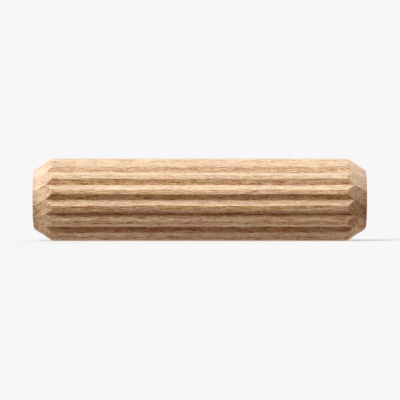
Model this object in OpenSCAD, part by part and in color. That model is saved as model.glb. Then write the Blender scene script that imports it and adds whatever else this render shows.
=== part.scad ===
// Fluted dowel pin: a straight beech rod that glues two boards together.
// Grooves run the whole length and let air and spare glue out of the blind hole.
// The pin lies along X with its centre at the origin, on the two ribs beside its lowest groove.

/* [Shank] */
// Diameter over the ribs, which is the drill size of the hole
pin_d = 10; // [6:0.5:16]
// Length from end face to end face
pin_l = 40; // [20:1:80]

/* [Grooves] */
// Number of grooves, with one rib between each two
groove_count = 16; // [8:1:24]
// Depth of a groove, from the ribs down to its floor
groove_depth = 0.43; // [0.1:0.01:0.8]
// Angle between the two walls of a groove
groove_angle = 120; // [60:5:130]
// Radius of the rounded floor of a groove
floor_r = 0.1; // [0.05:0.01:0.3]

/* [Bevelled ends] */
// Length of the bevel along the pin, at the middle of a rib
bevel_l = 2.35; // [0.5:0.05:4]
// Angle between a flat of the bevel and the pin's axis
bevel_angle = 33.5; // [15:0.5:40]

/* [Hidden] */

$fn = 180;
pin_r = pin_d / 2;
// Angle from one groove to the next
pitch = 360 / groove_count;
// How far each cutter reaches past the wood that it removes
spare = 1;
wood_colour = "#dfb58e";

// Section of one groove, cut up into the lowest point of the rod.
// Each wall leaves the round floor at a tangent.
module groove_section() {
    half = groove_angle / 2;
    centre_y = pin_r - groove_depth + floor_r;
    foot_x = floor_r * cos(half);
    foot_y = centre_y - floor_r * sin(half);
    mouth_y = pin_r + spare;
    mouth_x = foot_x + (mouth_y - foot_y) * tan(half);
    translate([0, -centre_y])
        circle(r = floor_r);
    polygon([[-foot_x, -foot_y], [-mouth_x, -mouth_y], [mouth_x, -mouth_y], [foot_x, -foot_y]]);
}

// Section through the ribs and grooves, the same all along the pin
module shank_section() {
    difference() {
        circle(r = pin_r);
        for (i = [0 : groove_count - 1])
            rotate(i * pitch)
                groove_section();
    }
}

// Straight fluted rod, cut square at both ends
module shank() {
    rotate([90, 0, 90])
        linear_extrude(height = pin_l, center = true)
            shank_section();
}

// Block whose inner face lays one flat across the right-hand end of the top rib
module flat_cutter() {
    flat_l = bevel_l / cos(bevel_angle);
    translate([pin_l / 2 - bevel_l, 0, pin_r])
        rotate([0, bevel_angle, 0])
            translate([-spare, -pin_r, 0])
                cube([flat_l + 2 * spare, pin_d, bevel_l + spare]);
}

// A flat for every rib: two flats meet in an edge that starts at the tip of a groove
module bevel_cutters() {
    for (i = [0 : groove_count - 1])
        rotate([180 + (i + 0.5) * pitch, 0, 0])
            flat_cutter();
}

module dowel_pin() {
    color(wood_colour)
        difference() {
            shank();
            bevel_cutters();
            mirror([1, 0, 0])
                bevel_cutters();
        }
}

dowel_pin();
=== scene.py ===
"""Fluted beech dowel pin: its fine mesh, its two beech finishes, the studio and the camera.

The pin lies along X on two of its ribs, with its centre at the origin. Lengths are in
millimetres, and become metres where a mesh, a material or the camera is made.
"""

import logging
import math
from collections.abc import Iterable, Mapping, Sequence
from dataclasses import dataclass, field
from enum import Enum
from typing import Any

import bpy
from mathutils import Euler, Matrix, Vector, noise


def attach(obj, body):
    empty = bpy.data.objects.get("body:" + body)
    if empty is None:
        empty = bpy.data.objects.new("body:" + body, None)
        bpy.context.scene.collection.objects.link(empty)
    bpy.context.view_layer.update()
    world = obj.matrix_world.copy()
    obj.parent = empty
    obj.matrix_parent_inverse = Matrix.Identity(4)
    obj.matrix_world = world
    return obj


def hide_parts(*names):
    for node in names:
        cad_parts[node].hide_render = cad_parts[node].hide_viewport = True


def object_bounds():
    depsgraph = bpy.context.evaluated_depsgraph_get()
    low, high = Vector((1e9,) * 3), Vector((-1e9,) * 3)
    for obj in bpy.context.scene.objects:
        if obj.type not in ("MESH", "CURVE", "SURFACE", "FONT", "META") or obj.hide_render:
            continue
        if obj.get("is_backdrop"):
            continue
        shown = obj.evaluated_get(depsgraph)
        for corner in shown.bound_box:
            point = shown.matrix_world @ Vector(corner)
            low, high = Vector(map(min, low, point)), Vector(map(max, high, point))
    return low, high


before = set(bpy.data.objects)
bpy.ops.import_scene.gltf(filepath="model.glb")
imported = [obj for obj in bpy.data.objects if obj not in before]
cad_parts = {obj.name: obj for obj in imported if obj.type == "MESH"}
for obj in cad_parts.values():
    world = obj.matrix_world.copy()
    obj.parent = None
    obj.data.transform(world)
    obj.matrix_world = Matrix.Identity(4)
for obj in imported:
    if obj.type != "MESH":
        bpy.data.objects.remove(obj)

log = logging.getLogger("dowel_pin")

Socket = bpy.types.NodeSocket

MM = 0.001


def linear(hex_colour: str) -> tuple[float, float, float, float]:
    """Turns an sRGB hex colour into the linear colour that the shaders take.

    Args:
        hex_colour: The colour as "#rrggbb".

    Returns:
        Linear red, green and blue, with an alpha of 1.
    """
    channels = [int(hex_colour[i : i + 2], 16) / 255 for i in (1, 3, 5)]
    red, green, blue = (c / 12.92 if c <= 0.04045 else ((c + 0.055) / 1.055) ** 2.4 for c in channels)
    return red, green, blue, 1.0


def lerp(start: float, end: float, share: float) -> float:
    """Value that lies a share of the way from start to end."""
    return start + (end - start) * share


def into_scene(name: str, data: bpy.types.ID) -> bpy.types.Object:
    """Makes an object and puts it into the scene.

    Args:
        name: The object's name.
        data: Its mesh, lamp or camera.

    Returns:
        The object.
    """
    thing = bpy.data.objects.new(name, data)
    bpy.context.scene.collection.objects.link(thing)
    return thing


class End(Enum):
    """The two ends of the pin, each with its direction along X."""

    LEFT = -1
    RIGHT = 1


class Side(Enum):
    """The two sides of a groove, each with its direction round the pin."""

    BEFORE = -1
    AFTER = 1


class Mark(Enum):
    """What the mesh tells the finishes about a place, each with the name of its attribute."""

    LAND = "land"
    # Edges of the grooves, painted paler as a highlight
    EDGE_HIGHLIGHT = "painted_light"
    # Floors of the grooves, painted darker as shade
    FLOOR = "floor"
    CREASE = "crease"
    # Band next to an end face, which takes painted shade
    RIM = "rim"


class Lay(Enum):
    """How one colour lies over another, each with Blender's name for it."""

    COVER = "MIX"
    STAIN = "MULTIPLY"


@dataclass(frozen=True)
class PinSizes:
    """Driving sizes of the pin, in millimetres and degrees."""

    length: float
    diameter: float = 10.0
    groove_count: int = 16
    groove_depth: float = 0.43
    groove_angle: float = 120.0
    floor_radius: float = 0.1
    bevel_length: float = 2.35
    bevel_angle: float = 33.5

    @property
    def radius(self) -> float:
        """Radius over the ribs."""
        return self.diameter / 2

    @property
    def half_length(self) -> float:
        """Distance along X from the pin's middle to each end face."""
        return self.length / 2

    @property
    def pitch(self) -> float:
        """Angle from one groove to the next, in radians."""
        return math.tau / self.groove_count

    @property
    def slope(self) -> float:
        """How fast a flat of the bevel rises from the end face."""
        return math.tan(math.radians(self.bevel_angle))

    @property
    def end_apothem(self) -> float:
        """Distance from the axis to each side of the end face."""
        return self.radius - self.bevel_length * self.slope

    def groove_wall(self, depth: float) -> tuple[Vector, Vector, Vector]:
        """Draws one wall of a groove, seen along the pin with the groove's middle straight up.

        Args:
            depth: Depth of the groove.

        Returns:
            (where the wall leaves the round floor, its direction, the corner where it meets the rib).
        """
        half = math.radians(self.groove_angle / 2)
        centre = self.radius - depth + self.floor_radius
        foot = Vector((self.floor_radius * math.cos(half), centre - self.floor_radius * math.sin(half)))
        along = Vector((math.sin(half), math.cos(half)))
        reach = -foot.dot(along) + math.sqrt(foot.dot(along) ** 2 - foot.length_squared + self.radius**2)
        return foot, along, foot + along * reach

    @property
    def half_width(self) -> float:
        """Distance from the axis to the two ribs that the pin lies on."""
        return self.groove_wall(self.groove_depth)[2].y

    @property
    def tip_depth(self) -> float:
        """Distance along X from the end face to the tips of the grooves."""
        floor = self.radius - self.groove_depth
        return (floor * math.cos(self.pitch / 2) - self.end_apothem) / self.slope


@dataclass(frozen=True)
class GrooveCut:
    """One groove at one place along the pin: how deep it is and how its two edges stand."""

    depth: float
    drift: float
    wander: Mapping[Side, float]
    rounding: Mapping[Side, float]


@dataclass(frozen=True)
class Handwork:
    """What keeps a milled wooden pin from being exact, in millimetres.

    Each groove drifts a little along the pin, its edges wander, and some stretches of an edge
    are worn or torn rounder than the rest. Every change is drawn from a lane of its own in the
    noise, so that none of them follows another.
    """

    drift: float = 0.020
    drift_run: float = 9.0
    depth_change: float = 0.022
    depth_run: float = 6.0
    edge_wander: float = 0.032
    edge_run: float = 1.3
    edge_round: float = 0.020
    edge_wear: float = 0.10
    wear_run: float = 1.1
    fibre_lift: float = 0.011
    fibre_run: float = 5.0
    fibre_width: float = 0.34
    # A second layer of fibres: its strength, how many times finer it is each way, and its offset
    fine_share: float = 0.55
    fine_along: float = 2.3
    fine_across: float = 2.1
    fine_shift: float = 9.0

    WEAR_LANES = {Side.BEFORE: 40.3, Side.AFTER: 58.0}
    WANDER_LANES = {Side.BEFORE: 120.6, Side.AFTER: 160.9}
    DEPTH_LANE = 80.1
    LANE_GAP_Y = 3.17
    LANE_GAP_Z = 1.31
    LANE_START = 0.4
    # Plain noise reaches about 0.7 each way
    NOISE_GAIN = 1.4

    def wave(self, x: float, run: float, lane: float) -> float:
        """Draws a smooth random value from about -1 to 1.

        Args:
            x: Place along the pin.
            run: Length over which the value changes.
            lane: Number that tells one groove or edge from another.

        Returns:
            The value at that place.
        """
        point = Vector((x / run, lane * self.LANE_GAP_Y + self.LANE_START, lane * self.LANE_GAP_Z))
        return noise.noise(point) * self.NOISE_GAIN

    def cut(self, groove: int, x: float, depth: float) -> GrooveCut:
        """Works out how one groove is cut at a place along the pin.

        Args:
            groove: Number of the groove.
            x: Place along the pin.
            depth: Depth of an exact groove.

        Returns:
            The groove as it is cut there.
        """
        wander = {
            side: self.edge_wander * self.wave(x, self.edge_run, groove + lane)
            for side, lane in self.WANDER_LANES.items()
        }
        worn = {
            side: max(0.0, self.wave(x, self.wear_run, groove + lane))
            for side, lane in self.WEAR_LANES.items()
        }
        return GrooveCut(
            depth=depth + self.depth_change * self.wave(x, self.depth_run, groove + self.DEPTH_LANE),
            drift=self.drift * self.wave(x, self.drift_run, groove),
            wander=wander,
            rounding={side: self.edge_round + self.edge_wear * share**2 for side, share in worn.items()},
        )

    def relief(self, x: float, y: float, z: float) -> float:
        """Works out how far the fibres rise at a point.

        Args:
            x: Place along the pin.
            y: Place across the pin.
            z: Height.

        Returns:
            The height as a share of the fibre lift, from about -1 to 1.
        """
        wide = Vector((x / self.fibre_run, y / self.fibre_width, z / self.fibre_width))
        fine = wide * Vector((self.fine_along, self.fine_across, self.fine_across))
        fine.z += self.fine_shift
        return noise.noise(wide) + self.fine_share * noise.noise(fine)


class MeshDraft:
    """Vertices and faces of one piece while it is being built, with the marks they carry."""

    def __init__(self) -> None:
        """Starts with nothing in it."""
        self.vertices: list[tuple[float, float, float]] = []
        self.faces: list[tuple[int, ...]] = []
        self.end_grain: list[bool] = []
        self.marks: dict[Mark, list[float]] = {mark: [] for mark in Mark}
        self.sharp: set[tuple[int, int]] = set()

    def add(self, x: float, y: float, z: float, marks: Mapping[Mark, float]) -> int:
        """Adds a vertex.

        Args:
            x: Place along the pin, in millimetres.
            y: Place across the pin, in millimetres.
            z: Height, in millimetres.
            marks: How strong each mark is there. One that isn't named is 0.

        Returns:
            The vertex's number.
        """
        self.vertices.append((x * MM, y * MM, z * MM))
        for mark, values in self.marks.items():
            values.append(marks.get(mark, 0.0))
        return len(self.vertices) - 1

    def stitch(self, near: Sequence[int], far: Sequence[int], end_grain: bool) -> None:
        """Joins two rings of vertices by quads.

        Args:
            near: Ring at the lower X.
            far: Ring at the higher X.
            end_grain: Whether the band shows cut fibre ends.
        """
        for i in range(len(near)):
            after = (i + 1) % len(near)
            self.faces.append((near[i], far[i], far[after], near[after]))
            self.end_grain.append(end_grain)

    def close(self, ring: Sequence[int], hub: int, end: End) -> None:
        """Fills the innermost ring of an end face with a fan of triangles.

        Args:
            ring: The ring's vertices.
            hub: Vertex on the axis.
            end: Which end the face is at.
        """
        for i, vertex in enumerate(ring):
            pair = (vertex, ring[(i + 1) % len(ring)])
            self.faces.append((*pair, hub) if end is End.LEFT else (*reversed(pair), hub))
            self.end_grain.append(True)

    def sharpen(self, line: Sequence[int]) -> None:
        """Keeps the edges along a line of vertices sharp."""
        self.sharp.update((min(pair), max(pair)) for pair in zip(line, line[1:]))

    def finish(self, name: str) -> bpy.types.Object:
        """Makes the object, smooth but for its sharp edges.

        Args:
            name: The object's name, which its mesh takes too.

        Returns:
            The object, in the scene.
        """
        mesh = bpy.data.meshes.new(name)
        mesh.from_pydata(self.vertices, [], self.faces)
        mesh.polygons.foreach_set("use_smooth", [True] * len(mesh.polygons))
        mesh.polygons.foreach_set("material_index", [int(cut) for cut in self.end_grain])
        for edge in mesh.edges:
            edge.use_edge_sharp = tuple(sorted(edge.vertices)) in self.sharp
        for mark, values in self.marks.items():
            mesh.attributes.new(mark.value, "FLOAT", "POINT").data.foreach_set("value", values)
        mesh.update()
        return into_scene(name, mesh)


@dataclass
class FlutedPin:
    """The pin's wood as one closed mesh: ribs and grooves, a bevel of flats and two end faces.

    Attributes:
        sizes: Driving sizes of the pin.
        handwork: Unevenness of the cut wood.
        crease_turn: Angle by which the edges between the flats lean round the pin, in degrees.
        crease_fan: How much more they lean at the underside, and less at the top, in degrees.
        bevel_lift: Share of the fibre relief that the flats take.
        rim_width: Width of the band of painted shade next to an end face.
        rim_fade: Width over which that band fades out.
        rim_round: Radius of the rim of an end face.
        rim_crowding: How much the rows crowd towards that rim, where 1 is evenly.
        floor_steps: Columns on half of a groove's floor.
        wall_steps: Columns on a groove's wall.
        edge_steps: Columns round a rib's edge.
        land_steps: Columns on half of a rib's top.
        crease_reach: Columns over which a crease shows on each side.
        body_rows: Rows along the shank.
        bevel_rows: Rows along a bevel.
        face_rows: Rows from the rim of an end face to its middle.
    """

    sizes: PinSizes
    handwork: Handwork
    crease_turn: float = 12.3
    crease_fan: float = 15.8
    bevel_lift: float = 0.6
    rim_width: float = 0.75
    rim_fade: float = 0.25
    rim_round: float = 0.30
    rim_crowding: float = 1.5
    floor_steps: int = 1
    wall_steps: int = 4
    edge_steps: int = 3
    land_steps: int = 2
    crease_reach: int = 2
    body_rows: int = 190
    bevel_rows: int = 15
    face_rows: int = 9
    draft: MeshDraft = field(default_factory=MeshDraft, init=False)

    # Painted shade on the rim: level at the axis's height, what a lower place adds, and the least anywhere
    RIM_SHADE_LEVEL = 0.7
    RIM_SHADE_BELOW = 0.6
    RIM_SHADE_LEAST = 0.1

    # Section

    @property
    def edge_end(self) -> int:
        """Number of the point where a rib's top starts, counted from the middle of a groove."""
        return self.floor_steps + self.wall_steps + self.edge_steps

    @property
    def rib_middle(self) -> int:
        """Number of the point at the middle of a rib, counted from the middle of a groove."""
        return self.edge_end + self.land_steps

    def all_round(self, half: Sequence[Any]) -> list[Any]:
        """Repeats what half a groove has at each point over every column of a ring."""
        return [*reversed(half[1:-1]), *half] * self.sizes.groove_count

    def half_section(self, cut: GrooveCut, side: Side) -> list[tuple[float, float]]:
        """Lists one side of a groove, from its middle out to the middle of the rib beside it.

        The whole side drifts with the groove, its edge also wanders, and both fade over the rib.

        Args:
            cut: The groove as it is cut there.
            side: Which side of the groove.

        Returns:
            (angle from the groove's middle, radius) of each point.
        """
        sizes = self.sizes
        foot, along, corner = sizes.groove_wall(cut.depth)
        rounding = cut.rounding[side]
        wall_end = corner - along * rounding
        land_angle = math.atan2(corner.x, corner.y) + rounding / sizes.radius
        land_start = Vector((math.sin(land_angle), math.cos(land_angle))) * sizes.radius
        points = [Vector((0.0, sizes.radius - cut.depth))]
        points += [foot.lerp(wall_end, i / self.wall_steps) for i in range(self.wall_steps + 1)]
        for i in range(1, self.edge_steps):
            share = i / self.edge_steps
            points.append(wall_end.lerp(corner, share).lerp(corner.lerp(land_start, share), share))
        polar = [(math.atan2(p.x, p.y), p.length) for p in points]
        edge = len(polar) - 1
        for i in range(self.land_steps + 1):
            polar.append((lerp(land_angle, sizes.pitch / 2, i / self.land_steps), sizes.radius))
        moved = []
        for i, (angle, radius) in enumerate(polar[:-1]):
            shift = (cut.drift * side.value + cut.wander[side] * min(1.0, i / edge)) / sizes.radius
            if i > edge:
                shift *= (sizes.pitch / 2 - angle) / (sizes.pitch / 2 - land_angle)
            moved.append((angle + shift, radius))
        moved.append(polar[-1])
        return moved

    def section(self, x: float) -> list[tuple[float, float]]:
        """Lists the whole section at a place along the pin.

        Args:
            x: Place along the pin.

        Returns:
            (angle, radius) of each point, once round, from just past the middle of a rib.
        """
        points: list[tuple[float, float]] = []
        for groove in range(self.sizes.groove_count):
            middle = groove * self.sizes.pitch
            cut = self.handwork.cut(groove, x, self.sizes.groove_depth)
            before = self.half_section(cut, Side.BEFORE)
            after = self.half_section(cut, Side.AFTER)
            points += [(middle - angle, radius) for angle, radius in reversed(before[1:-1])]
            points += [(middle + angle, radius) for angle, radius in after]
        return points

    def shank_marks(self) -> list[dict[Mark, float]]:
        """Tells what each shank column is: a rib's top, a painted-highlight edge or a painted-shade floor.

        Returns:
            The marks of each column.
        """
        half = [
            {
                Mark.LAND: float(i >= self.edge_end),
                Mark.EDGE_HIGHLIGHT: float(self.wall_steps < i <= self.edge_end),
                Mark.FLOOR: float(i <= self.floor_steps),
            }
            for i in range(self.rib_middle + 1)
        ]
        return self.all_round(half)

    def crease_marks(self) -> list[float]:
        """Tells how near each column of a bevel is to a crease: 1 on it, and 0 beyond its reach."""
        return self.all_round([max(0.0, 1.0 - i / self.crease_reach) for i in range(self.rib_middle + 1)])

    # Bevel

    def rim_mark(self, angle: float, inset: float) -> float:
        """Tells how much painted shade a point of the bevel takes: most near the rim, below.

        Args:
            angle: The point's angle round the pin.
            inset: Distance along X from the end face.

        Returns:
            How strong the mark is, from 0 to 1.
        """
        near = min(1.0, max(0.0, (self.rim_width - inset) / self.rim_fade))
        return near * min(1.0, max(self.RIM_SHADE_LEAST, self.RIM_SHADE_LEVEL + self.RIM_SHADE_BELOW * math.sin(angle)))

    def crease_shift(self, angle: float) -> float:
        """Angle by which the edge that starts at a groove's tip has turned at the end face."""
        return math.radians(self.crease_turn + self.crease_fan * math.sin(angle))

    def bevel_point(self, angle: float, inset: float) -> tuple[float, float]:
        """Finds where a column of the mesh crosses a flat of the bevel.

        Args:
            angle: The column's angle on the shank.
            inset: Distance along X from the end face.

        Returns:
            (angle, radius) of the point.
        """
        sizes = self.sizes
        vertex_radius = (sizes.end_apothem + inset * sizes.slope) / math.cos(sizes.pitch / 2)
        turned = max(0.0, 1.0 - inset / sizes.tip_depth)
        first = math.floor(angle / sizes.pitch) * sizes.pitch
        share = (angle - first) / sizes.pitch
        start = first + self.crease_shift(first) * turned
        end = first + sizes.pitch + self.crease_shift(first + sizes.pitch) * turned
        here = lerp(start, end, share)
        half = (end - start) / 2
        return here, vertex_radius * math.cos(half) / math.cos(here - (start + end) / 2)

    def rim_arc(self, distance: float) -> tuple[float, float]:
        """Moves a point onto the rounded rim, which touches both the flat and the end face.

        Args:
            distance: How far the point is from the sharp rim, along its own surface.

        Returns:
            (how far it comes to be along that surface, how far below that surface it sinks).
        """
        half_turn = (math.pi / 2 - math.radians(self.sizes.bevel_angle)) / 2
        reach = self.rim_round * math.tan(half_turn)
        turned = half_turn * max(0.0, 1.0 - distance / reach)
        sunk = self.rim_round * (1 - math.cos(turned))
        return max(distance, reach - self.rim_round * math.sin(turned)), sunk

    def bevel_start(self, angle: float, radius: float) -> float:
        """Distance from the end face at which a column of the shank runs into its flat."""
        off = angle % self.sizes.pitch - self.sizes.pitch / 2
        return (radius * math.cos(off) - self.sizes.end_apothem) / self.sizes.slope

    # Mesh

    def place(self, x: float, angle: float, radius: float, lift: float, marks: Mapping[Mark, float]) -> int:
        """Adds a vertex, held inside the solid's own half width.

        Args:
            x: Place along the pin.
            angle: Angle round the pin, from the side that faces -Y and growing towards -Z.
            radius: Distance from the axis.
            lift: How much of the fibre relief the vertex takes, always inwards.
            marks: How strong each mark is there. One that isn't named is 0.

        Returns:
            The vertex's number.
        """
        side, down = math.cos(angle), math.sin(angle)
        rise = 1.0 + self.handwork.relief(x, -radius * side, -radius * down)
        sunk = radius - lift * self.handwork.fibre_lift * rise
        limit = self.sizes.half_width
        y, z = (min(limit, max(-limit, -sunk * part)) for part in (side, down))
        return self.draft.add(x, y, z, marks)

    def body_rings(self) -> list[list[int]]:
        """Adds the shank's vertices.

        Returns:
            The rings from the left bevel to the right one.
        """
        straight = self.sizes.half_length - self.sizes.bevel_length
        marks = self.shank_marks()
        rings = []
        for row in range(self.body_rows + 1):
            share = lerp(-1.0, 1.0, row / self.body_rows)
            ring = []
            for (angle, radius), here in zip(self.section(share * straight), marks):
                reach = self.sizes.half_length - self.bevel_start(angle, radius)
                ring.append(self.place(share * reach, angle, radius, 1.0, here))
            rings.append(ring)
        return rings

    def last_section(self, end: End) -> list[tuple[float, float]]:
        """Lists the section where the shank ends and a bevel starts."""
        return self.section((self.sizes.half_length - self.sizes.bevel_length) * end.value)

    def bevel_rings(self, end: End) -> list[list[int]]:
        """Adds one bevel's vertices.

        Args:
            end: Which end the bevel is at.

        Returns:
            The rings towards the end face, without the first, which is the shank's.
        """
        section = self.last_section(end)
        creases = self.crease_marks()
        lean = math.radians(self.sizes.bevel_angle)
        rings = []
        for row in range(1, self.bevel_rows + 1):
            left_over = (1 - row / self.bevel_rows) ** self.rim_crowding
            ring = []
            for (angle, radius), crease in zip(section, creases):
                flat_inset = self.bevel_start(angle, radius) * left_over
                along, sunk = self.rim_arc(flat_inset / math.cos(lean))
                turned, reach = self.bevel_point(angle, along * math.cos(lean))
                inset = along * math.cos(lean) + sunk * math.sin(lean)
                marks = {Mark.CREASE: crease, Mark.RIM: self.rim_mark(turned, inset)}
                x = end.value * (self.sizes.half_length - inset)
                ring.append(self.place(x, turned, reach - sunk * math.cos(lean), self.bevel_lift, marks))
            rings.append(ring)
        return rings

    def face_rings(self, end: End) -> list[list[int]]:
        """Adds one end face's vertices inside its rim.

        Args:
            end: Which end the face is at.

        Returns:
            The rings towards the axis.
        """
        work = self.handwork
        rim = [self.bevel_point(angle, 0.0) for angle, _ in self.last_section(end)]
        rings = []
        for row in range(1, self.face_rows):
            inner = (row / self.face_rows) ** self.rim_crowding
            ring = []
            for angle, reach in rim:
                inwards, rounding = self.rim_arc(reach * inner)
                radius = reach - inwards
                rise = 1.0 + work.relief(0.0, -radius * math.cos(angle), -radius * math.sin(angle))
                x = end.value * (self.sizes.half_length - rounding - work.fibre_lift * rise)
                ring.append(self.place(x, angle, radius, 0.0, {}))
            rings.append(ring)
        return rings

    def build(self) -> bpy.types.Object:
        """Builds the whole mesh.

        Returns:
            The pin's object.
        """
        draft = self.draft
        body = self.body_rings()
        for near, far in zip(body, body[1:]):
            draft.stitch(near, far, end_grain=False)
        per_groove = len(body[0]) // self.sizes.groove_count
        tips = [self.rib_middle - 1 + per_groove * i for i in range(self.sizes.groove_count)]
        for end, start in ((End.LEFT, body[0]), (End.RIGHT, body[-1])):
            bevel = [start, *self.bevel_rings(end)]
            face = [bevel[-1], *self.face_rings(end)]
            for outer, inner in (*zip(bevel, bevel[1:]), *zip(face, face[1:])):
                near, far = (inner, outer) if end is End.LEFT else (outer, inner)
                draft.stitch(near, far, end_grain=True)
            hub_x = end.value * (self.sizes.half_length - self.handwork.fibre_lift)
            draft.close(face[-1], self.place(hub_x, 0.0, 0.0, 0.0, {}), end)
            draft.sharpen([*start, start[0]])
            for tip in tips:
                draft.sharpen([ring[tip] for ring in bevel])
        return draft.finish("dowel_pin_wood")

    def dress(self, pin: bpy.types.Object, shank: bpy.types.Material, cut_end: bpy.types.Material) -> None:
        """Gives the ribs and grooves one finish, and the bevels and end faces the other.

        Args:
            pin: The pin's object.
            shank: Finish along the fibres.
            cut_end: Finish across the fibres.
        """
        pin.data.materials.append(shank)
        pin.data.materials.append(cut_end)


class NodeSheet:
    """A material's or world's node tree, emptied and ready for new nodes."""

    def __init__(self, owner: bpy.types.Material | bpy.types.World) -> None:
        """Turns the nodes on and empties their tree.

        Args:
            owner: The material or world that the tree belongs to.
        """
        owner.use_nodes = True
        self.tree = owner.node_tree
        self.tree.nodes.clear()

    def add(
        self,
        kind: str,
        inputs: Mapping[str | int, Any],
        stops: Mapping[float, str] | None = None,
        **settings: Any,
    ) -> bpy.types.Node:
        """Adds one node.

        Args:
            kind: Blender's name for the kind of node.
            inputs: Value or output socket for each input, by its name or number.
            stops: For a colour ramp, the colour at each place, in rising order.
            **settings: Properties of the node.

        Returns:
            The node.
        """
        node = self.tree.nodes.new(kind)
        for name, value in settings.items():
            setattr(node, name, value)
        for name, value in inputs.items():
            if isinstance(value, Socket):
                self.tree.links.new(value, node.inputs[name])
            else:
                node.inputs[name].default_value = value
        for i, (place, colour) in enumerate((stops or {}).items()):
            elements = node.color_ramp.elements
            element = elements[i] if i < len(elements) else elements.new(place)
            element.position = place
            element.color = linear(colour)
        return node

    def weigh(self, parts: Mapping[Socket, float]) -> Socket:
        """Adds up patterns, each less its middle value of 0.5 and times its weight.

        Args:
            parts: Weight of each pattern.

        Returns:
            Socket with 0.5 plus the weighted sum.
        """
        total: Any = 0.5 - 0.5 * sum(parts.values())
        for pattern, weight in parts.items():
            inputs = {0: pattern, 1: weight, 2: total}
            total = self.add("ShaderNodeMath", inputs, operation="MULTIPLY_ADD").outputs[0]
        return total

    def coat(self, colour: Socket, coats: Iterable[tuple[Any, Any, Lay]]) -> Socket:
        """Lays colours over one another.

        Args:
            colour: Lowest colour.
            coats: For each colour over it, in order: its share, its hex value or socket, its way.

        Returns:
            Socket with what shows in the end.
        """
        for share, over, lay in coats:
            tint = linear(over) if isinstance(over, str) else over
            # A colour mix takes its share on input 0 and its two colours on 6 and 7
            mix = self.add(
                "ShaderNodeMix", {0: share, 6: colour, 7: tint}, data_type="RGBA", blend_type=lay.value
            )
            colour = mix.outputs[2]
        return colour

    def mark(self, mark: Mark, strength: Any) -> Socket:
        """Adds one of the marks that the mesh carries, times a strength or its socket."""
        place = self.add("ShaderNodeAttribute", {}, attribute_name=mark.value).outputs["Fac"]
        return self.add("ShaderNodeMath", {0: place, 1: strength}, operation="MULTIPLY").outputs[0]


@dataclass(frozen=True)
class Figure:
    """One pattern in the wood, drawn out along the fibres.

    Attributes:
        run: Size along the fibres, in millimetres.
        width: Size across the rays, in millimetres.
        depth: Size along the rays, in millimetres.
        detail: Number of finer layers in it.
        harshness: How strong each finer layer is.
    """

    run: float
    width: float
    depth: float
    detail: float = 2.0
    harshness: float = 0.6

    def room(self, sheet: NodeSheet, grain: Socket) -> Socket:
        """Adds coordinates that grow by 1 over each size of the pattern."""
        scale = (1 / self.run, 1 / self.width, 1 / self.depth)
        return sheet.add("ShaderNodeMapping", {"Vector": grain, "Scale": scale}).outputs["Vector"]

    def texture(self, sheet: NodeSheet, grain: Socket) -> bpy.types.Node:
        """Adds the noise that the pattern is made from.

        Args:
            sheet: Tree to add to.
            grain: Coordinates in millimetres, along the fibres and across them.

        Returns:
            The noise's node.
        """
        inputs = {
            "Vector": self.room(sheet, grain),
            "Scale": 1.0,
            "Detail": self.detail,
            "Roughness": self.harshness,
        }
        return sheet.add("ShaderNodeTexNoise", inputs)

    def draw(self, sheet: NodeSheet, grain: Socket) -> Socket:
        """Adds the pattern as a value from 0 to 1."""
        return self.texture(sheet, grain).outputs["Fac"]


@dataclass(frozen=True)
class Flecks(Figure):
    """A pattern of separate marks with soft edges.

    Attributes:
        edge: Value of the noise at which a mark begins to show.
        core: Value from which it shows in full.
    """

    detail: float = 1.0
    edge: float = 0.56
    core: float = 0.70

    def spread(self, sheet: NodeSheet, grain: Socket) -> Socket:
        """Adds the value that sets where the marks are."""
        return self.texture(sheet, grain).outputs["Fac"]

    def draw(self, sheet: NodeSheet, grain: Socket) -> Socket:
        """Adds the marks as a mask from 0 to 1."""
        span = {"Value": self.spread(sheet, grain), "From Min": self.edge, "From Max": self.core}
        return sheet.add("ShaderNodeMapRange", span, interpolation_type="SMOOTHSTEP").outputs["Result"]


@dataclass(frozen=True)
class Pores(Flecks):
    """Open vessels that are cut across: dots, whose edge and core are shares of the gap between them."""

    edge: float = 0.45
    core: float = 0.15

    def spread(self, sheet: NodeSheet, grain: Socket) -> Socket:
        """Adds the distance from the middle of the nearest dot."""
        cells = {"Vector": self.room(sheet, grain), "Scale": 1.0}
        return sheet.add("ShaderNodeTexVoronoi", cells).outputs["Distance"]


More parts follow.
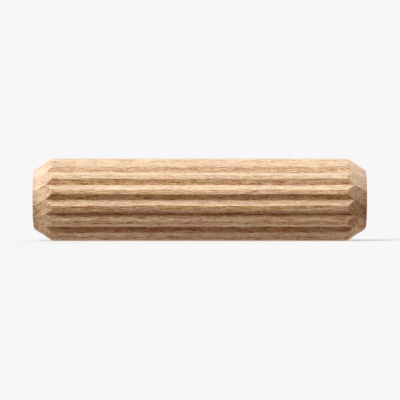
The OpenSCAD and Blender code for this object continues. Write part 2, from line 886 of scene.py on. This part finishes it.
@dataclass(frozen=True)
class BeechTimber:
    """Steamed European beech, as the tree grew it: its colours and its figure.

    Steaming gives the pinkish tan. Rays show as short red-brown flecks, and the tiny vessels
    as hair-thin darker lines along the fibres.
    """

    deep: str = "#b27a49"
    tan: str = "#dbad81"
    pale: str = "#f0cea7"
    bright: str = "#fee9ce"
    straw: str = "#fefce2"
    rosy: str = "#fff6f6"
    golden: str = "#fffaee"
    ray_stain: str = "#d0a27a"
    vessel_stain: str = "#b48c68"
    # Way to the bark, in degrees round the pin, and slope of the fibres against its axis
    bark_side: float = -51.0
    grain_slope: float = 0.6
    # Span of the sway of the fibres, in millimetres, and the size of its waves
    sway: float = 0.30
    waves: Figure = Figure(run=3.5, width=2.0, depth=2.0, harshness=0.5)
    # Growth rings, about 1 mm thick from pith to bark
    ring: Figure = Figure(run=14.0, width=3.2, depth=0.9)
    # Bundles of fibres that took the steam alike
    streak: Figure = Figure(run=6.0, width=0.16, depth=0.16)
    # Fibres are 1 mm long and 0.02 mm wide: they are drawn in tufts, because finer ones don't show
    fibre: Figure = Figure(run=1.5, width=0.075, depth=0.075)
    # Broken fibre ends, coarser than the real 0.02 mm for the same reason
    grit: Figure = Figure(run=0.40, width=0.08, depth=0.08)
    # Tufts that the cutter lifted
    lift: Figure = Figure(run=1.3, width=0.12, depth=0.12)
    # Slow change of hue from straw to rose
    hue: Figure = Figure(run=4.5, width=0.35, depth=0.35, detail=1.0)
    # Vessels are 0.06 mm wide in the real wood, and here a little wider, so that they show
    vessel: Flecks = Flecks(run=2.6, width=0.08, depth=0.08, edge=0.58, core=0.72)
    # Rays, 0.1 mm wide and 1 to 4 mm high, which the cut leaves as short flecks
    ray: Flecks = Flecks(run=1.5, width=0.08, depth=0.22)

    def grain_space(self, sheet: NodeSheet) -> Socket:
        """Adds the coordinates that the figure is drawn in: X along the fibres, Z towards the bark.

        The fibres sway a little, so that no streak runs dead straight.

        Args:
            sheet: Tree to add to.

        Returns:
            Socket with the coordinates, in millimetres.
        """
        place = sheet.add("ShaderNodeTexCoord", {}).outputs["Object"]
        turn = Euler((math.radians(self.bark_side), 0.0, math.radians(self.grain_slope)))
        straight = {"Vector": place, "Rotation": turn, "Scale": (1 / MM, 1 / MM, 1 / MM)}
        grain = sheet.add("ShaderNodeMapping", straight).outputs["Vector"]
        # Noise as a colour is three values about 0.5, of which Y and Z move the fibres
        bend = {0: self.waves.texture(sheet, grain).outputs["Color"], 1: (0.5, 0.5, 0.5)}
        middle = sheet.add("ShaderNodeVectorMath", bend, operation="SUBTRACT").outputs[0]
        moved = {0: middle, 1: (0.0, self.sway, self.sway), 2: grain}
        return sheet.add("ShaderNodeVectorMath", moved, operation="MULTIPLY_ADD").outputs[0]


@dataclass(frozen=True)
class TopHighlight:
    """Painted highlight: pale grey over whatever faces up to the light, making it paler and greyer.

    Attributes:
        colour: Colour of the painted highlight.
        cover: Share of the wood that it hides where it is strongest.
        least_rise: Upward part of the surface's normal from which it begins to show.
        full_rise: Upward part from which it is strongest.
    """

    colour: str = "#dfd7c9"
    cover: float = 0.42
    least_rise: float = -0.15
    full_rise: float = 0.9

    def lay(self, sheet: NodeSheet, colour: Socket) -> Socket:
        """Adds the painted highlight over a colour.

        Args:
            sheet: Tree to add to.
            colour: Colour of the bare wood.

        Returns:
            Socket with the dusted colour.
        """
        # Painted highlight: the more a face looks up towards the light, the more pale grey covers it
        facing = sheet.add("ShaderNodeNewGeometry", {}).outputs["Normal"]
        rise = sheet.add("ShaderNodeSeparateXYZ", {"Vector": facing}).outputs["Z"]
        span = {"From Min": self.least_rise, "From Max": self.full_rise, "To Max": self.cover}
        highlight_share = sheet.add("ShaderNodeMapRange", {"Value": rise, **span}).outputs["Result"]
        return sheet.coat(colour, [(highlight_share, self.colour, Lay.COVER)])


@dataclass(frozen=True)
class BareBeech:
    """What both finishes share: cut beech without oil or lacquer, so its gloss is weak and broad.

    Attributes:
        timber: The wood itself.
        top_highlight: Painted highlight that makes whatever faces up paler.
        name: The material's name.
        roughness: Roughness of the shader.
        bump_height: Height of the raised fibres, in millimetres.
        fuzz: Strength of the soft sheen of loose fibre ends.
        fuzz_roughness: How wide that sheen spreads.
        gloss: Specular level.
        ior: Index of refraction of wood.
    """

    timber: BeechTimber
    top_highlight: TopHighlight
    name: str
    roughness: float
    bump_height: float
    fuzz: float = 0.0
    fuzz_roughness: float = 0.45
    gloss: float = 0.2
    ior: float = 1.5

    def draw(self, sheet: NodeSheet, grain: Socket) -> tuple[Socket, Socket]:
        """Adds the figure of one cut through the wood.

        Args:
            sheet: Tree to add to.
            grain: Coordinates in millimetres, along the fibres and across them.

        Returns:
            Sockets with the bare wood's colour and with its relief.
        """
        raise NotImplementedError

    def make(self) -> bpy.types.Material:
        """Builds the material.

        Returns:
            The material.
        """
        material = bpy.data.materials.new(self.name)
        sheet = NodeSheet(material)
        colour, relief = self.draw(sheet, self.timber.grain_space(sheet))
        rise = {"Height": relief, "Strength": 1.0, "Distance": self.bump_height * MM}
        inputs = {
            "Base Color": self.top_highlight.lay(sheet, colour),
            "Roughness": self.roughness,
            "IOR": self.ior,
            "Specular IOR Level": self.gloss,
            "Sheen Weight": self.fuzz,
            "Sheen Roughness": self.fuzz_roughness,
            "Normal": sheet.add("ShaderNodeBump", rise).outputs["Normal"],
        }
        wood = sheet.add("ShaderNodeBsdfPrincipled", inputs)
        sheet.add("ShaderNodeOutputMaterial", {"Surface": wood.outputs["BSDF"]})
        return material


@dataclass(frozen=True)
class LongGrainFinish(BareBeech):
    """Ribs and grooves: milled along the fibres and left bare, so matt with a faint sheen.

    The tops of the ribs, which are the older cut, have aged golden. The edges of the grooves carry
    a painted highlight, and their floors painted shade.
    """

    name: str = "beech_long_grain"
    roughness: float = 0.58
    bump_height: float = 0.12
    fuzz: float = 0.30
    land_age: float = 1.0
    # Painted highlight on the edges of the grooves, and painted shade in their floors
    edge_painted_highlight: float = 0.35
    floor_painted_shade: float = 0.15
    ring_weight: float = 0.7
    streak_weight: float = 1.15
    fibre_weight: float = 1.9
    grit_weight: float = 1.9
    grit_relief: float = 0.4

    def draw(self, sheet: NodeSheet, grain: Socket) -> tuple[Socket, Socket]:
        """Adds the figure of the cut along the fibres.

        Args:
            sheet: Tree to add to.
            grain: Coordinates in millimetres, along the fibres and across them.

        Returns:
            Sockets with the bare wood's colour and with its relief.
        """
        timber = self.timber
        grit = timber.grit.draw(sheet, grain)
        tone = sheet.weigh(
            {
                timber.ring.draw(sheet, grain): self.ring_weight,
                timber.streak.draw(sheet, grain): self.streak_weight,
                timber.fibre.draw(sheet, grain): self.fibre_weight,
                grit: self.grit_weight,
            }
        )
        shades = {0.05: timber.deep, 0.30: timber.tan, 0.52: timber.pale, 0.90: timber.bright}
        colour = sheet.add("ShaderNodeValToRGB", {"Fac": tone}, stops=shades).outputs["Color"]
        hue = timber.hue.draw(sheet, grain)
        hues = {0.38: timber.straw, 0.62: timber.rosy}
        tint = sheet.add("ShaderNodeValToRGB", {"Fac": hue}, stops=hues).outputs["Color"]
        coats = (
            (1.0, tint, Lay.STAIN),
            (sheet.mark(Mark.LAND, self.land_age), timber.golden, Lay.STAIN),
            # Painted highlight: the edges of the grooves paler
            (sheet.mark(Mark.EDGE_HIGHLIGHT, self.edge_painted_highlight), timber.bright, Lay.COVER),
            # Painted shade: the floors of the grooves darker
            (sheet.mark(Mark.FLOOR, self.floor_painted_shade), timber.deep, Lay.STAIN),
            (timber.vessel.draw(sheet, grain), timber.vessel_stain, Lay.STAIN),
            (timber.ray.draw(sheet, grain), timber.ray_stain, Lay.STAIN),
        )
        relief = sheet.weigh({timber.lift.draw(sheet, grain): 1.0, grit: self.grit_relief})
        return sheet.coat(colour, coats), relief


@dataclass(frozen=True)
class EndGrainFinish(BareBeech):
    """Bevels and end faces: cut across the fibres, so duller, and dotted with open vessels.

    The rim of the end face is painted darker, most on its underside: painted shade. The cutter
    tore some of the edges between the flats.
    """

    name: str = "beech_end_grain"
    roughness: float = 0.8
    bump_height: float = 0.012
    deep: str = "#be8f65"
    tan: str = "#dbb58a"
    pale: str = "#f0d1ad"
    bright: str = "#fbe3c7"
    pore_stain: str = "#d9c4b0"
    ray_stain: str = "#c49d7a"
    # Painted shade of the end face's rim
    rim_painted_shade: str = "#e6cfc0"
    torn_stain: str = "#8f694d"
    # Cut fibre ends, drawn in clumps, because the real 0.02 mm doesn't show
    speck: Figure = Figure(run=0.40, width=0.15, depth=0.15)
    # Patches where the blunt side of the cutter pressed the fibre ends over
    blotch: Figure = Figure(run=0.40, width=0.35, depth=0.35, detail=3.0)
    # Vessels 0.06 mm wide and 0.1 mm apart, drawn over twice as coarse, so that they show
    pore: Pores = Pores(run=1.6, width=0.24, depth=0.24)
    # Rays, which run in from the bark as thin lines
    ray: Flecks = Flecks(run=4.5, width=0.08, depth=1.32)
    ring_weight: float = 0.6
    speck_weight: float = 0.75
    blotch_weight: float = 0.4
    pore_relief: float = -0.5
    torn_relief: float = -1.0
    # Blotch values from which the rim's painted shade or a torn edge starts to show, and shows in full
    blotch_start: float = 0.36
    rim_shade_full: float = 0.60
    torn_full: float = 0.50

    def draw(self, sheet: NodeSheet, grain: Socket) -> tuple[Socket, Socket]:
        """Adds the figure of the cut across the fibres.

        Args:
            sheet: Tree to add to.
            grain: Coordinates in millimetres, along the fibres and across them.

        Returns:
            Sockets with the bare wood's colour and with its relief.
        """
        speck = self.speck.draw(sheet, grain)
        blotch = self.blotch.draw(sheet, grain)
        pore = self.pore.draw(sheet, grain)
        ring = self.timber.ring.draw(sheet, grain)
        tone = sheet.weigh({ring: self.ring_weight, speck: self.speck_weight, blotch: self.blotch_weight})
        shades = {0.14: self.deep, 0.36: self.tan, 0.54: self.pale, 0.80: self.bright}
        colour = sheet.add("ShaderNodeValToRGB", {"Fac": tone}, stops=shades).outputs["Color"]
        # Where the blotches are strong: painted shade along the rim, and torn edges between the flats
        worn = []
        for value, full in ((blotch, self.rim_shade_full), (sheet.mark(Mark.CREASE, blotch), self.torn_full)):
            span = {"Value": value, "From Min": self.blotch_start, "From Max": full}
            step = sheet.add("ShaderNodeMapRange", span, interpolation_type="SMOOTHSTEP")
            worn.append(step.outputs["Result"])
        painted_light, torn = worn
        coats = (
            (pore, self.pore_stain, Lay.STAIN),
            (self.ray.draw(sheet, grain), self.ray_stain, Lay.STAIN),
            # Painted shade along the rim
            (sheet.mark(Mark.RIM, painted_light), self.rim_painted_shade, Lay.STAIN),
            (torn, self.torn_stain, Lay.STAIN),
        )
        relief = sheet.weigh({speck: 1.0, pore: self.pore_relief, torn: self.torn_relief})
        return sheet.coat(colour, coats), relief


@dataclass(frozen=True)
class SoftLamp:
    """A far, soft lamp. Its level is the brightness that it gives a white face turned to it.

    Its angles are in degrees. Azimuth is counted from the front, which is -Y, towards +X.
    """

    name: str
    azimuth: float
    elevation: float
    level: float
    spread: float
    colour: str

    def make(self) -> None:
        """Builds the lamp."""
        lamp = bpy.data.lights.new(self.name, "SUN")
        lamp.energy = self.level * math.pi
        lamp.angle = math.radians(self.spread)
        lamp.color = linear(self.colour)[:3]
        holder = into_scene(self.name, lamp)
        turn = math.radians(self.azimuth)
        rise = math.radians(self.elevation)
        towards = Vector((math.sin(turn) * math.cos(rise), -math.cos(turn) * math.cos(rise), math.sin(rise)))
        holder.location = towards
        holder.rotation_euler = towards.to_track_quat("Z", "Y").to_euler()


@dataclass(frozen=True)
class Studio:
    """Plain pale floor and backdrop, soft lamps and the even light of the room.

    The floor stops no light, so the lamp below it stands for the glow of a large pale table.
    The same glow fills part of the floor's shadows, so that they stay pale.
    """

    floor_height: float
    lamps: tuple[SoftLamp, ...]
    room_level: float = 0.13
    room_colour: str = "#ffab54"
    backdrop: str = "#f7f7f7"
    shadow_fill: float = 0.45
    floor_radius: float = 4000.0
    floor_sides: int = 64

    def seen_directly(self, sheet: NodeSheet) -> Socket:
        """Adds a mask that is 1 for what the camera, a reflection or clear glass shows.

        Args:
            sheet: Tree to add to.

        Returns:
            Socket with the mask.
        """
        path = sheet.add("ShaderNodeLightPath", {}).outputs
        seen = path["Is Camera Ray"]
        for ray in ("Is Glossy Ray", "Is Transmission Ray"):
            seen = sheet.add("ShaderNodeMath", {0: seen, 1: path[ray]}, operation="MAXIMUM").outputs[0]
        return seen

    def floor_light(self) -> tuple[float, ...]:
        """Adds up the light that the room and the lamps above give the floor.

        Returns:
            Its red, green and blue.
        """
        channels = [self.room_level * channel for channel in linear(self.room_colour)[:3]]
        for lamp in self.lamps:
            share = lamp.level * max(0.0, math.sin(math.radians(lamp.elevation)))
            channels = [total + share * tint for total, tint in zip(channels, linear(lamp.colour))]
        return tuple(channels)

    def make_floor(self) -> None:
        """Builds the floor in the tone that makes it look like the backdrop under this light."""
        turns = [math.tau * i / self.floor_sides for i in range(self.floor_sides)]
        reach, height = self.floor_radius * MM, self.floor_height * MM
        corners = [(reach * math.cos(turn), reach * math.sin(turn), height) for turn in turns]
        mesh = bpy.data.meshes.new("studio_floor")
        mesh.from_pydata(corners, [], [range(self.floor_sides)])
        material = bpy.data.materials.new("studio_floor")
        sheet = NodeSheet(material)
        tone = [shown / light for shown, light in zip(linear(self.backdrop), self.floor_light())]
        matt = sheet.add("ShaderNodeBsdfDiffuse", {"Color": (*tone, 1.0)}).outputs[0]
        glow = sheet.add("ShaderNodeEmission", {"Color": linear(self.backdrop), "Strength": 1.0}).outputs[0]
        seen = {0: self.seen_directly(sheet), 1: self.shadow_fill}
        fill = sheet.add("ShaderNodeMath", seen, operation="MULTIPLY").outputs[0]
        both = sheet.add("ShaderNodeMixShader", {0: fill, 1: matt, 2: glow}).outputs[0]
        sheet.add("ShaderNodeOutputMaterial", {"Surface": both})
        mesh.materials.append(material)
        floor = into_scene("studio_floor", mesh)
        floor.visible_diffuse = False
        floor.visible_shadow = False
        floor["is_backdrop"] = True

    def make_room(self) -> None:
        """Builds the world: a pale backdrop to look at, and an even, weaker light for the rest."""
        world = bpy.data.worlds.new("studio_room")
        sheet = NodeSheet(world)
        room, backdrop = (
            sheet.add("ShaderNodeBackground", {"Color": linear(colour), "Strength": level}).outputs[0]
            for colour, level in ((self.room_colour, self.room_level), (self.backdrop, 1.0))
        )
        both = sheet.add("ShaderNodeMixShader", {0: self.seen_directly(sheet), 1: room, 2: backdrop})
        sheet.add("ShaderNodeOutputWorld", {"Surface": both.outputs[0]})
        bpy.context.scene.world = world

    def build(self) -> None:
        """Builds floor, room and lamps, and shows colours as they are written."""
        bpy.context.scene.view_settings.view_transform = "Standard"
        self.make_floor()
        self.make_room()
        for lamp in self.lamps:
            lamp.make()


@dataclass(frozen=True)
class ProductCamera:
    """Long-lens camera, all but level with the pin's axis and square to it."""

    distance: float = 367.0
    elevation: float = 0.45
    focal_length: float = 274.0
    sensor: float = 36.0
    shift_x: float = 0.0005
    shift_y: float = -0.0011
    nearest: float = 10.0

    def make(self) -> None:
        """Builds the camera and makes it the scene's own."""
        camera = bpy.data.cameras.new("product_camera")
        camera.lens = self.focal_length
        camera.sensor_width = self.sensor
        camera.shift_x = self.shift_x
        camera.shift_y = self.shift_y
        camera.clip_start = self.nearest * MM
        holder = into_scene("product_camera", camera)
        rise = math.radians(self.elevation)
        holder.location = Vector((0.0, -math.cos(rise), math.sin(rise))) * self.distance * MM
        holder.rotation_euler = (math.pi / 2 - rise, 0.0, 0.0)
        bpy.context.scene.camera = holder


def main() -> None:
    """Builds the pin, its finishes, the studio and the camera, in that order."""
    logging.basicConfig(level=logging.INFO, format="%(name)s: %(message)s")
    low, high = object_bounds()
    pin_maker = FlutedPin(PinSizes(length=(high.x - low.x) / MM), Handwork())
    pin = pin_maker.build()
    timber = BeechTimber()
    # Painted highlight on the faces that look up, shared by both finishes
    top_highlight = TopHighlight()
    pin_maker.dress(pin, LongGrainFinish(timber, top_highlight).make(), EndGrainFinish(timber, top_highlight).make())
    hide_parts("dowel_pin")
    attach(pin, "root")
    log.info("%s: %d faces", pin.name, len(pin.data.polygons))
    lamps = (
        SoftLamp("key_lamp", azimuth=-55.0, elevation=45.0, level=0.86, spread=50.0, colour="#f6faff"),
        SoftLamp("top_lamp", azimuth=0.0, elevation=70.0, level=0.585, spread=60.0, colour="#fcfffb"),
        SoftLamp("back_lamp", azimuth=136.0, elevation=12.0, level=0.40, spread=30.0, colour="#fffefb"),
        SoftLamp("table_glow", azimuth=180.0, elevation=-75.0, level=0.56, spread=40.0, colour="#f0faff"),
    )
    Studio(floor_height=low.z / MM, lamps=lamps).build()
    log.info("studio: %d lamps", len(lamps))
    ProductCamera().make()
    low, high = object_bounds()


if __name__ == "__main__":
    main()
